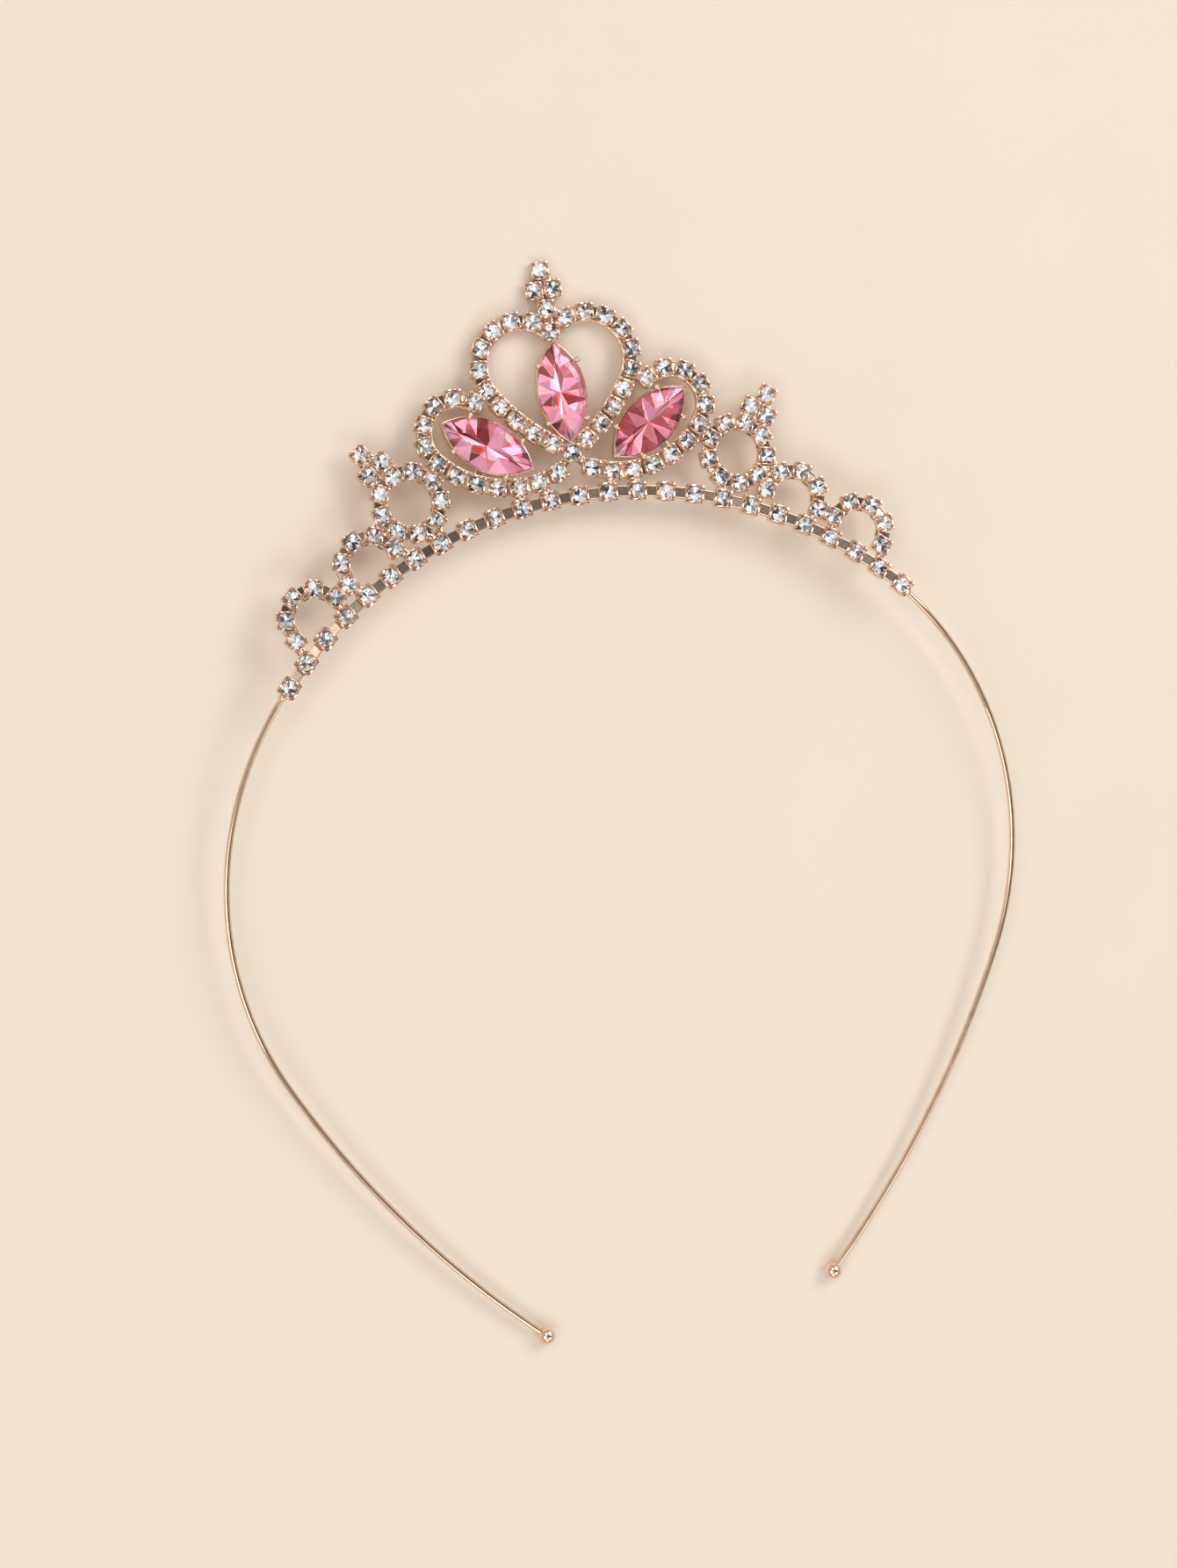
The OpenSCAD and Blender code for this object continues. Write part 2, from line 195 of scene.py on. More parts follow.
def mirrored(cups):
    """The same cups on the other side."""
    return [(-c[0], c[1], -c[2]) for c in cups]


ROUNDING = 1e-6


def joints(string, other):
    """Pairs of cups that solder joins: the closest pair, and all within the solder's reach."""
    pairs = [(between(a, b), a, b) for a in string for b in other]
    reach = max(SOLDER_REACH, min(gap for gap, a, b in pairs) + ROUNDING)
    return [(a, b) for gap, a, b in pairs if gap <= reach]


row_step = math.degrees(ROW_PITCH / ROW_RADIUS)
row_cups = [(*above_row(k * row_step, 0), -k * row_step) for k in range(-ROW_SIDE_CUPS, ROW_SIDE_CUPS + 1)]

lobe = Vector((LOBE_X, HEART_RISE + LOBE_RISE))
lobe_span = math.hypot(LOBE_X, LOBE_RISE)
side_angle = bearing((LOBE_X, LOBE_RISE)) + math.degrees(math.acos(
    (SIDE_RADIUS ** 2 + lobe_span ** 2 - (SIDE_RADIUS - LOBE_RADIUS) ** 2) / (2 * SIDE_RADIUS * lobe_span)))
side_centre = Vector((0, HEART_RISE)) + SIDE_RADIUS * Vector((cos(side_angle), sin(side_angle)))
side_join = bearing(lobe - side_centre)
notch_rise = math.sqrt(LOBE_RADIUS ** 2 - LOBE_X ** 2)
heart_path = [
    (side_centre, SIDE_RADIUS, bearing(Vector((0, HEART_RISE)) - side_centre), side_join),
    (lobe, LOBE_RADIUS, side_join, bearing((-LOBE_X, notch_rise)))]
heart_bottom = (0, HEART_RISE, 0)
heart_notch = (0, lobe.y + notch_rise, 0)
heart_side = string_on(heart_path)[1:-1]


def cross_cups(foot, lean, first):
    """The two side cups and the top cup of a cross that stands on a foot."""
    places = [(-CUP / 2, first), (CUP / 2, first), (0, first + CROSS_PITCH)]
    return [(foot[0] + x * cos(lean) - y * sin(lean), foot[1] + x * sin(lean) + y * cos(lean), lean)
            for x, y in places]


cross_foot = (0, heart_notch[1] + CROSS_RISE, 0)
middle_cross = [cross_foot] + cross_cups(cross_foot, 0, CROSS_PITCH)

sweep_shift = (SWEEP_RADIUS - LOOP_RADIUS) * Vector((cos(SWEEP_JOIN), sin(SWEEP_JOIN)))
loop_centre = place_by(row_centre + sweep_shift, ROW_RADIUS + SWEEP_RADIUS + ROW_LOOP_GAP,
                       lobe, LOBE_RADIUS + LOOP_RADIUS + HEART_LOOP_GAP)
sweep_centre = loop_centre - sweep_shift
loop_path = [(sweep_centre, SWEEP_RADIUS, SWEEP_START, SWEEP_JOIN),
             (loop_centre, LOOP_RADIUS, SWEEP_JOIN, LOOP_END)]
loop_cups = string_on(loop_path)

ring_centre = place_by(row_centre, ROW_RADIUS + RING_RISE,
                       loop_centre, LOOP_RADIUS + RING_RADIUS + LOOP_RING_GAP)
ring_at = row_angle(ring_centre)
ring_count = round(2 * math.pi * RING_RADIUS / CHAIN_PITCH)
ring_arcs = [(ring_centre, RING_RADIUS, first, first + 360)
             for first in (90 - ring_at + RING_TURN + 360 * k / ring_count for k in range(ring_count))]
ring_cups = [on_arc(arc, 0) for arc in ring_arcs]
ring_cross = cross_cups(ring_centre, RING_CROSS_LEAN - ring_at, RING_RADIUS + RING_CROSS_RISE)

inner_centre = place_by(row_centre, ROW_RADIUS + ARCH_RISE,
                        ring_centre, RING_RADIUS + ARCH_RADIUS + RING_ARCH_GAP)
outer_centre = place_by(row_centre, ROW_RADIUS + ARCH_RISE, inner_centre, 2 * ARCH_RADIUS + ARCH_GAP)


def arch_path(centre):
    """The path of an arch that stands on the row."""
    up = 90 - row_angle(centre)
    return [(centre, ARCH_RADIUS, up + ARCH_HALF_TURN, up - ARCH_HALF_TURN)]


inner_arch = string_on(arch_path(inner_centre))
outer_arch = string_on(arch_path(outer_centre))

setting_width = NAVETTE_WIDTH + 2 * NAVETTE_PLAY + 2 * SETTING_WALL
setting_length = setting_width * NAVETTE_LENGTH / NAVETTE_WIDTH
middle_navette = (0, (heart_bottom[1] + heart_notch[1]) / 2, 90)
side_navette_radius = SWEEP_RADIUS - SIDE_NAVETTE_GAP - setting_width / 2
side_navette = (sweep_centre.x + side_navette_radius * sin(SIDE_NAVETTE_TURN),
                sweep_centre.y - side_navette_radius * cos(SIDE_NAVETTE_TURN), SIDE_NAVETTE_SLANT)

# The band runs on from the row, bent back a little, over the temples and down to the balls.
start_at = ROW_SIDE_CUPS * row_step + math.degrees(CUP / 2 / ROW_RADIUS)
band_start = above_row(start_at, 0)
temple_centre = band_start - TEMPLE_RADIUS * Vector((sin(start_at), cos(start_at)))
tail_from = start_at + TEMPLE_TURN
tail_start = temple_centre + TEMPLE_RADIUS * Vector((sin(tail_from), cos(tail_from)))
tail_centre = tail_start - TAIL_RADIUS * Vector((sin(tail_from), cos(tail_from)))
tail_to = tail_from + TAIL_TURN
band_end = tail_centre + TAIL_RADIUS * Vector((sin(tail_to), cos(tail_to)))

# At rest the piece lies on its balls and on the middle cross. Both touch the surface where
# rest_cos * cos(band_slope) - rest_sin * sin(band_slope) = BALL / 2.
wire_z = WIRE_SINK - WIRE / 2
crown_reach = cross_foot[1] + 2 * CROSS_PITCH + CUP / 2 - band_start.y
band_reach = band_start.y - band_end.y
rest_cos = crown_reach * sin(CROWN_TILT) + wire_z * cos(CROWN_TILT)
rest_sin = crown_reach * cos(CROWN_TILT) - wire_z * sin(CROWN_TILT) + band_reach
rest_reach = math.hypot(rest_cos, rest_sin)
band_slope = math.degrees(math.acos(BALL / 2 / rest_reach)) - bearing((rest_cos, rest_sin))
crown_slope = CROWN_TILT - band_slope
bend_z = BALL / 2 + band_reach * sin(band_slope)
crown_ahead = crown_reach * cos(crown_slope) + (WALL_TOP - wire_z) * sin(crown_slope)
bend_y = (band_reach * cos(band_slope) + BALL / 2 - crown_ahead) / 2

bend = Matrix.Translation((0, bend_y, bend_z))
crown_pose = (bend @ Matrix.Rotation(math.radians(-crown_slope), 4, "X")
              @ Matrix.Translation((0, -band_start.y, -wire_z)))
band_pose = (bend @ Matrix.Rotation(math.radians(band_slope), 4, "X")
             @ Matrix.Translation((0, -band_start.y, 0)))
MILLIMETRE = 0.001
TO_METRES = Matrix.Scale(MILLIMETRE, 4)


# Node trees

class Bench:
    """A node tree under construction."""

    def __init__(self, group):
        self.group = group

    def put(self, node, key, value):
        """Gives an input, by its name or number, a plain value or a socket to link from."""
        socket = node.inputs[key]
        if isinstance(value, bpy.types.NodeSocket):
            self.group.links.new(value, socket)
        else:
            socket.default_value = value

    def feed(self, node, **values):
        """Gives named inputs their values."""
        for name, value in values.items():
            self.put(node, name.replace("_", " "), value)

    def add(self, kind, settings=None, **values):
        """A new node; settings hold its properties by name and inputs by number, values inputs by name."""
        node = self.group.nodes.new(kind)
        for key, setting in (settings or {}).items():
            if isinstance(key, int):
                self.put(node, key, setting)
            else:
                setattr(node, key, setting)
        self.feed(node, **values)
        return node

    def get(self, kind, settings=None, **values):
        """The first output of a new node."""
        return self.add(kind, settings, **values).outputs[0]

    def mix(self, factor, a, b):
        """A colour between a at factor 0 and b at factor 1."""
        return self.add("ShaderNodeMix", {"data_type": "RGBA", 0: factor, 6: a, 7: b}).outputs[2]

    def fade(self, value, start, end, low, high):
        """A smooth change from low to high as a value goes from start to end."""
        return self.get("ShaderNodeMapRange", {"interpolation_type": "SMOOTHSTEP"}, Value=value,
                        From_Min=start, From_Max=end, To_Min=low, To_Max=high)


class Tree(Bench):
    """A tree of its own; its inputs and outputs have a name and a kind, and some inputs a value."""

    def __init__(self, name, kind, inputs, outputs):
        super().__init__(bpy.data.node_groups.new(name, kind))
        self.ids = {}
        for socket, socket_kind, *value in inputs:
            made = self.group.interface.new_socket(socket, in_out="INPUT",
                                                   socket_type="NodeSocket" + socket_kind)
            if value:
                made.default_value = value[0]
            self.ids[socket] = made.identifier
        for socket, socket_kind in outputs:
            self.group.interface.new_socket(socket, in_out="OUTPUT", socket_type="NodeSocket" + socket_kind)
        self.given = self.add("NodeGroupInput").outputs
        self.result = self.add("NodeGroupOutput").inputs

    def lent(self, name):
        """The mesh of a helper object that is given to the tree."""
        return self.add("GeometryNodeObjectInfo", Object=self.given[name]).outputs["Geometry"]

    def attribute(self, name, kind="FLOAT"):
        return self.get("GeometryNodeInputNamedAttribute", {"data_type": kind}, Name=name)

    def uneven(self, low, high):
        """A random number between low and high, by the given seed."""
        return self.add("FunctionNodeRandomValue", {"data_type": "FLOAT", 2: low, 3: high},
                        Seed=self.given["Seed"]).outputs[1]

    def on_points(self, part, **values):
        """A part on each point, turned to its heading and lean and unevenly by the given wobble."""
        wobble = self.given["Wobble"]
        low = self.get("ShaderNodeMath", {"operation": "MULTIPLY", 0: wobble, 1: -1})
        random = self.get("FunctionNodeRandomValue", {"data_type": "FLOAT_VECTOR"},
                          Min=low, Max=wobble, Seed=self.given["Seed"])
        heading = self.get("ShaderNodeCombineXYZ", Y=self.attribute("lean"), Z=self.attribute("heading"))
        total = self.get("ShaderNodeVectorMath", {"operation": "ADD", 0: random, 1: heading})
        turn = self.get("FunctionNodeEulerToRotation", Euler=total)
        return self.get("GeometryNodeInstanceOnPoints", Points=self.given["Geometry"], Instance=part,
                        Rotation=turn, **values)

    def end(self, geometry, material, foil=None):
        """The tree, closed: instances are realized and given their material."""
        real = self.get("GeometryNodeRealizeInstances", Geometry=geometry)
        done = self.get("GeometryNodeSetMaterial", Geometry=real, Material=material)
        if foil is not None:
            done = self.get("GeometryNodeSetMaterial", Geometry=done, Material=foil,
                            Selection=self.attribute("foil", "BOOLEAN"))
        self.group.links.new(done, self.result["Geometry"])
        return self


UNEVEN = (("Wobble", "Float", 0.0), ("Seed", "Int", 1))
METAL = ("Metal", "Material")


def geometry_tree(name, *inputs):
    geometry = ("Geometry", "Geometry")
    return Tree(name, "GeometryNodeTree", [geometry, *inputs], [geometry])


def make_cup_tree():
    """Cups along their strings, each with four pairs of claw beads on its corners."""
    tree = geometry_tree("Cup string", ("Cup", "Object"), ("Claw", "Object"),
                         ("Claw square", "Float", 2.6), ("Claw pair", "Float", 0.42),
                         ("Claw sizes from", "Float", 0.9), ("Claw sizes to", "Float", 1.02), *UNEVEN, METAL)
    given = tree.given
    square = tree.get("GeometryNodeCurvePrimitiveQuadrilateral",
                      Width=given["Claw square"], Height=given["Claw square"])
    corners = tree.get("GeometryNodeFilletCurve", {"mode": "POLY"}, Curve=square, Count=1,
                       Radius=given["Claw pair"])
    claws = tree.get("GeometryNodeInstanceOnPoints", Points=corners, Instance=tree.lent("Claw"),
                     Scale=tree.uneven(given["Claw sizes from"], given["Claw sizes to"]))
    whole = tree.add("GeometryNodeJoinGeometry", Geometry=claws)
    tree.feed(whole, Geometry=tree.lent("Cup"))
    return tree.end(tree.on_points(whole.outputs[0]), given["Metal"])


def make_part_tree():
    """One part on each point, such as a link, a prong or a drop of solder, stretched to its span."""
    tree = geometry_tree("Parts on places", ("Part", "Object"), ("Lift", "Float", 0.0),
                         ("Uneven size", "Float", 0.0), *UNEVEN, METAL)
    given = tree.given
    smallest = tree.get("ShaderNodeMath", {"operation": "SUBTRACT", 0: 1, 1: given["Uneven size"]})
    stretch = tree.get("ShaderNodeCombineXYZ", X=tree.attribute("span"), Y=1, Z=1)
    scale = tree.get("ShaderNodeVectorMath", {"operation": "SCALE"}, Vector=stretch,
                     Scale=tree.uneven(smallest, 1))
    placed = tree.on_points(tree.lent("Part"), Scale=scale)
    lift = tree.get("ShaderNodeCombineXYZ", Z=given["Lift"])
    return tree.end(tree.get("GeometryNodeTransform", Geometry=placed, Translation=lift), given["Metal"])


def make_stone_tree():
    """Cut stones on their cups, each turned its own way, with foil behind its back facets."""
    tree = geometry_tree("Stones in cups", ("Stone", "Object"), ("Turn", "Float", 0.0), *UNEVEN,
                         ("Glass", "Material"), ("Foil", "Material"))
    given = tree.given
    spin = tree.get("ShaderNodeCombineXYZ", Z=tree.uneven(0, given["Turn"]))
    spun = tree.get("GeometryNodeRotateInstances", Instances=tree.on_points(tree.lent("Stone")),
                    Rotation=spin)
    real = tree.get("GeometryNodeRealizeInstances", Geometry=spun)
    # A random value on each face, which picks its painted reflection shade and painted glow in the foil
    stored = tree.get("GeometryNodeStoreNamedAttribute", {"data_type": "FLOAT", "domain": "FACE"},
                      Geometry=real, Name="facet", Value=tree.uneven(0, 1))
    return tree.end(stored, given["Glass"], given["Foil"])


def make_wire_tree():
    """A round wire along a path."""
    tree = geometry_tree("Round wire", ("Thickness", "Float", WIRE_SEEN), ("Sides", "Int", 20), METAL)
    given = tree.given
    half = tree.get("ShaderNodeMath", {"operation": "MULTIPLY", 0: given["Thickness"], 1: 0.5})
    path = tree.get("GeometryNodeMeshToCurve", Mesh=given["Geometry"])
    profile = tree.get("GeometryNodeCurvePrimitiveCircle", Resolution=given["Sides"], Radius=half)
    tube = tree.get("GeometryNodeCurveToMesh", Curve=path, Profile_Curve=profile, Fill_Caps=True)
    return tree.end(tree.get("GeometryNodeSetShadeSmooth", Geometry=tube), given["Metal"])


def make_rail_tree():
    """A flat strip on edge along a path, the side rail that joins the cups of a string."""
    tree = geometry_tree("Side rail", ("Thickness", "Float", 0.22), ("Height", "Float", 1.0),
                         ("Corner", "Float", 0.07), METAL)
    given = tree.given
    path = tree.get("GeometryNodeMeshToCurve", Mesh=given["Geometry"])
    upright = tree.get("GeometryNodeSetCurveNormal", {"mode": "Z_UP"}, Curve=path)
    strip = tree.get("GeometryNodeCurvePrimitiveQuadrilateral",
                     Width=given["Thickness"], Height=given["Height"])
    rounded = tree.get("GeometryNodeFilletCurve", {"mode": "POLY"}, Curve=strip, Count=2,
                       Radius=given["Corner"])
    rail = tree.get("GeometryNodeCurveToMesh", Curve=upright, Profile_Curve=rounded, Fill_Caps=True)
    return tree.end(rail, given["Metal"])


# Materials

def make_plating_group():
    """Plated metal: a soft mottle of two shades, with hazy patches and fine casting grain."""
    tree = Tree("Plating", "ShaderNodeTree", [
        ("Vector", "Vector"), ("Bright", "Color", (1, 1, 1, 1)), ("Deep", "Color", (1, 1, 1, 1)),
        ("Mottle size", "Float", 900), ("Grain size", "Float", 6000), ("Polish", "Float", 0.12),
        ("Haze", "Float", 0.2)], [("Colour", "Color"), ("Roughness", "Float"), ("Height", "Float")])
    given = tree.given
    mottle = tree.get("ShaderNodeTexNoise", Vector=given["Vector"], Scale=given["Mottle size"],
                      Detail=3.0, Roughness=0.6)
    patches = tree.get("ShaderNodeMapRange", Value=mottle, From_Min=0.35, From_Max=0.7)
    grain = tree.get("ShaderNodeTexNoise", Vector=given["Vector"], Scale=given["Grain size"], Detail=2.0)
    rough = tree.get("ShaderNodeMapRange", Value=patches, To_Min=given["Polish"], To_Max=given["Haze"])
    colour = tree.mix(patches, given["Bright"], given["Deep"])
    for name, value in (("Colour", colour), ("Roughness", rough), ("Height", grain)):
        tree.group.links.new(value, tree.result[name])
    return tree.group


class Finish(Bench):
    """A material built round one Principled BSDF."""

    def __init__(self, name, **plain):
        self.material = bpy.data.materials.new(name)
        self.material.use_nodes = True
        super().__init__(self.material.node_tree)
        self.shader = self.group.nodes["Principled BSDF"]
        self.feed(self.shader, **plain)

    def place(self):
        """The place on the object, in metres."""
        return self.add("ShaderNodeTexCoord").outputs["Object"]


plating = make_plating_group()


def plated(name, bright, deep, polish, haze, mottle=900, grain=6000, relief=0.02):
    """A plated metal in two shades of one colour; relief is its grain's depth in millimetres."""
    finish = Finish(name, Metallic=1.0)
    cover = finish.add("ShaderNodeGroup", {"node_tree": plating}, Vector=finish.place(),
                       Bright=(*bright, 1), Deep=(*deep, 1), Mottle_size=mottle, Grain_size=grain,
                       Polish=polish, Haze=haze).outputs
    bump = finish.get("ShaderNodeBump", Strength=0.35, Distance=relief * MILLIMETRE, Height=cover["Height"])
    finish.feed(finish.shader, Base_Color=cover["Colour"], Roughness=cover["Roughness"], Normal=bump)
    return finish.material


def cut_glass(name, colour, ior, cloud_shade=0.97):
    """The clear body of a cut stone, with a faint cloud in its tint and a polished coat on its facets."""
    finish = Finish(name, Metallic=0.0, Transmission_Weight=1.0, IOR=ior, Roughness=0.0,
                    Coat_Weight=1.0, Coat_Roughness=0.02, Coat_IOR=1.6)
    cloud = finish.get("ShaderNodeTexNoise", Vector=finish.place(), Scale=300.0, Detail=1.0)
    faint = [c * cloud_shade for c in colour]
    finish.feed(finish.shader, Base_Color=finish.mix(cloud, (*colour, 1), (*faint, 1)))
    return finish.material


def shade_ramp(finish, value, shades):
    """Picks one of the shades, or one between them, by a value from 0 to 1."""
    ramp = finish.add("ShaderNodeValToRGB", Fac=value)
    for k, shade in enumerate(shades):
        place = k / (len(shades) - 1)
        # A new ramp has two stops
        stop = ramp.color_ramp.elements[k] if k < 2 else ramp.color_ramp.elements.new(place)
        stop.position = place
        stop.color = (*shade, 1)
    return ramp.outputs[0]


def foil(name, shades, painted_glow):
    """The mirror foil behind a stone, in a shade of its own for each back facet: painted reflections, from
    near black to white.

    The painted glow is light painted onto each facet, which glows evenly though it is no lamp."""
    finish = Finish(name, Metallic=1.0, Roughness=0.1, Emission_Strength=1.0)
    facet = finish.add("ShaderNodeAttribute", {"attribute_name": "facet"}).outputs["Fac"]
    finish.feed(finish.shader, Base_Color=shade_ramp(finish, facet, shades),
                Emission_Color=shade_ramp(finish, facet, painted_glow))
    return finish.material


cup_metal = plated("rose gold cups", (0.98, 0.73, 0.56), (0.84, 0.58, 0.42), 0.1, 0.2)
# The links: satin rose gold with a finer, deeper grain, darker than the cups' rose gold as painted shade
painted_shade_link_metal = plated("satin rose gold links", (0.68, 0.5, 0.37), (0.46, 0.34, 0.25), 0.12, 0.22,
                    grain=12000, relief=0.03)
rail_metal = plated("rose gold rails", (1.0, 0.78, 0.6), (0.88, 0.63, 0.46), 0.1, 0.2)
wire_metal = plated("rose gold wire", (0.97, 0.7, 0.5), (0.84, 0.57, 0.4), 0.03, 0.07,
                    mottle=400, grain=3000, relief=0.0015)
ball_metal = plated("rose gold balls", (0.97, 0.7, 0.52), (0.9, 0.61, 0.44), 0.14, 0.2,
                    mottle=500, grain=4000, relief=0.006)
clear_glass = cut_glass("clear glass", (1.0, 1.0, 1.0), 1.3)
# Each foil: its facets' painted reflection shades, then their painted glow
clear_foil = foil("silver foil",
                  [(0.02, 0.016, 0.012), (0.5, 0.48, 0.46), (1.0, 0.98, 0.96), (1.0, 1.0, 1.0)],
                  [(0.0, 0.0, 0.0), (0.03, 0.026, 0.023), (0.2, 0.185, 0.175), (0.45, 0.44, 0.43)])
pink_glass = cut_glass("pink glass", (1.0, 0.35, 0.42), 1.14)
pink_foil = foil("pink foil",
                 [(0.22, 0.05, 0.03), (0.6, 0.26, 0.26), (0.9, 0.6, 0.62),
                  (1.0, 0.8, 0.84), (0.85, 0.72, 0.95), (1.0, 1.0, 1.0)],
                 [(0.02, 0.0, 0.0), (0.07, 0.025, 0.022), (0.15, 0.09, 0.09),
                  (0.3, 0.24, 0.24), (0.26, 0.22, 0.3), (0.65, 0.62, 0.62)])


# Mesh parts

def finished(work, mesh, smooth_angle=None):
    """The mesh with all the work in it, shaded smooth up to an angle between faces."""
    work.to_mesh(mesh)
    work.free()
    if smooth_angle is not None:
        mesh.shade_smooth()
        mesh.set_sharp_from_angle(angle=math.radians(smooth_angle))
    return mesh


def new_mesh(name, points, faces, smooth_angle=None):
    """A mesh with closed faces that point outwards."""
    mesh = bpy.data.meshes.new(name)
    mesh.from_pydata([tuple(p) for p in points], [], faces)
    work = bmesh.new()
    work.from_mesh(mesh)
    bmesh.ops.recalc_face_normals(work, faces=work.faces)
    return finished(work, mesh, smooth_angle)


def bands(first, number, count):
    """Faces between rings of corners that follow each other from the first corner on."""
    faces = []
    for k in range(number):
        low, high = first + k * count, first + (k + 1) * count
        faces += [[low + i, low + (i + 1) % count, high + (i + 1) % count, high + i] for i in range(count)]
    return faces


def loft(name, rings, smooth_angle):
    """A closed solid through rings of corners that all have the same count."""
    count = len(rings[0])
    points = [p for ring in rings for p in ring]
    last = (len(rings) - 1) * count
    faces = bands(0, len(rings) - 1, count)
    faces += [list(range(count)), list(range(last, last + count))]
    return new_mesh(name, points, faces, smooth_angle)


def rounded_square(half, radius, z, dip):
    """Corners round a square with rounded corners, whose sides sag by a dip between the corners."""
    ring = []
    flat = half - radius
    for quarter in range(4):
        side = 90 * quarter
        for angle in (side, side + 30, side + 60, side + 90):
            ring.append((flat * (cos(side) - sin(side)) + radius * cos(angle),
                         flat * (cos(side) + sin(side)) + radius * sin(angle), z))
        for along, sag in ((0.5, 0.7), (0, 1), (-0.5, 0.7)):
            ring.append((-half * sin(side) + along * flat * cos(side),
                         half * cos(side) + along * flat * sin(side), z - sag * dip))
    return ring


# A cup's outside, from its floor to its rim: how far each ring is drawn in from the cup's half width,
# its corner radius, its height, and the sag of its sides
CUP_OUTSIDE = [(0.12, 0.4, 0.0, 0.0), (0, 0.46, 0.12, 0.0), (0, 0.46, 0.8, 0.1),
               (0, 0.46, WALL_TOP - 0.22, 0.24), (0.05, 0.44, WALL_TOP - 0.12, 0.26)]
# Its inside, from the rim to the floor: how far each ring is wider than the inner half width, and so on
CUP_INSIDE = [(0.06, 0.38, WALL_TOP - 0.1, 0.24), (0, 0.34, WALL_TOP - 0.16, 0.2), (-0.01, 0.34, 0.4, 0.0)]
CUP_INNER_HALF = 1.25


def cup_mesh(half):
    """A square cup: side walls that sag between the corners, a broad rolled rim and a floor inside."""
    rings = [rounded_square(half - inset, radius, z, sag) for inset, radius, z, sag in CUP_OUTSIDE]
    rings += [rounded_square(CUP_INNER_HALF + extra, radius, z, sag) for extra, radius, z, sag in CUP_INSIDE]
    return loft("cup", rings, smooth_angle=40)


def claw_mesh():
    """A claw: a slim upright that ends in a round bead."""
    bead, bead_z, corners = 0.25, 1.4, 10
    foot, foot_z, neck, neck_z = 0.15, 0.1, 0.16, 1.15
    rings = [round_ring(foot, foot_z, corners), round_ring(neck, neck_z, corners)]
    rings += [round_ring(bead * sin(turn), bead_z - bead * cos(turn), corners) for turn in (50, 90, 125, 155)]
    return loft("claw", rings, smooth_angle=40)


def box_part(name, length, width, low, high, edge=0.05):
    """A bar with softly broken edges."""
    work = bmesh.new()
    bmesh.ops.create_cube(work, size=1)
    bmesh.ops.scale(work, verts=work.verts, vec=(length, width, high - low))
    bmesh.ops.translate(work, verts=work.verts, vec=(0, 0, (high + low) / 2))
    bmesh.ops.bevel(work, geom=work.edges[:], offset=edge, segments=2, affect="EDGES", profile=0.7)
    return finished(work, bpy.data.meshes.new(name))


def ribbed(name, length, width, low, high, rib_top, aside, edge=0.05):
    """A plate with a raised rib along each side."""
    plate = box_part("plate", length, width, low, high, edge)
    rib = box_part("rib", length, width=0.16, low=0.3, high=rib_top)
    other = rib.copy()
    rib.transform(Matrix.Translation((0, aside, 0)))
    other.transform(Matrix.Translation((0, -aside, 0)))
    work = bmesh.new()
    for part in (plate, rib, other):
        work.from_mesh(part)
    return finished(work, bpy.data.meshes.new(name))


def on_lens(length, width, along):
    """Half the width of a pointed lens at a distance along its axis."""
    radius = ((length / 2) ** 2 + (width / 2) ** 2) / width
    return math.sqrt(radius ** 2 - along ** 2) - radius + width / 2


def lens_ring(length, width, z, corners, half_step=False):
    """Corners round a pointed lens, counterclockwise from its right tip."""
    ring = []
    for i in range(corners):
        angle = (i + (0.5 if half_step else 0)) * 360 / corners
        along = length / 2 * cos(angle)
        ring.append((along, math.copysign(on_lens(length, width, along), sin(angle) if i else 1), z))
    return ring


def cut_stone(name, table, star, girdle, under, lower, culet):
    """A brilliant cut: table, stars, kites and halves above; mains and halves below, marked as foil.

    The table, star and lower rings have half the corners of the girdle; star and lower are half a step on."""
    count = len(table)
    points = table + star + girdle + under + lower + [culet]
    t, s, g, u, w = 0, count, 2 * count, 4 * count, 6 * count
    tip = 7 * count
    faces, back = [list(range(count))], []
    for i in range(count):
        j = (i + 1) % count
        faces += [[t + i, s + i, t + j], [t + j, s + i, g + 2 * j, s + j],
                  [s + i, g + 2 * i, g + 2 * i + 1], [s + i, g + 2 * i + 1, g + 2 * j]]
        for k in (2 * i, 2 * i + 1):
            after = (k + 1) % (2 * count)
            back.append([g + k, u + k, u + after, g + after])
        back += [[tip, w + i, u + 2 * j, w + j], [w + i, u + 2 * i + 1, u + 2 * i],
                 [w + i, u + 2 * j, u + 2 * i + 1]]
    mesh = new_mesh(name, points, faces + back)
    mark = mesh.attributes.new("foil", "BOOLEAN", "FACE")
    mark.data.foreach_set("value", [False] * len(faces) + [True] * len(back))
    return mesh


def round_ring(radius, z, corners, half_step=False):
    """Corners round a circle."""
    turn = 0.5 if half_step else 0
    return [(radius * cos((i + turn) * 360 / corners), radius * sin((i + turn) * 360 / corners), z)
            for i in range(corners)]


def rhinestone_mesh():
    """A round brilliant; its stars lie flat on the crown's slope, and its mains meet in a point."""
    table, star, girdle, lower, corners = 0.7, 0.98, 1.24, 0.56, 8
    top, girdle_z, edge, tip = 1.82, 1.16, 0.06, 0.42
    flat = cos(180 / corners)
    star_z = top - (top - girdle_z) / (girdle - table) * (star * flat - table)
    lower_z = tip + (girdle_z - edge - tip) / girdle * lower * flat
    return cut_stone("rhinestone", round_ring(table, top, corners), round_ring(star, star_z, corners, True),
                     round_ring(girdle, girdle_z, 2 * corners),
                     round_ring(girdle, girdle_z - edge, 2 * corners),
                     round_ring(lower, lower_z, corners, True), (0, 0, tip))


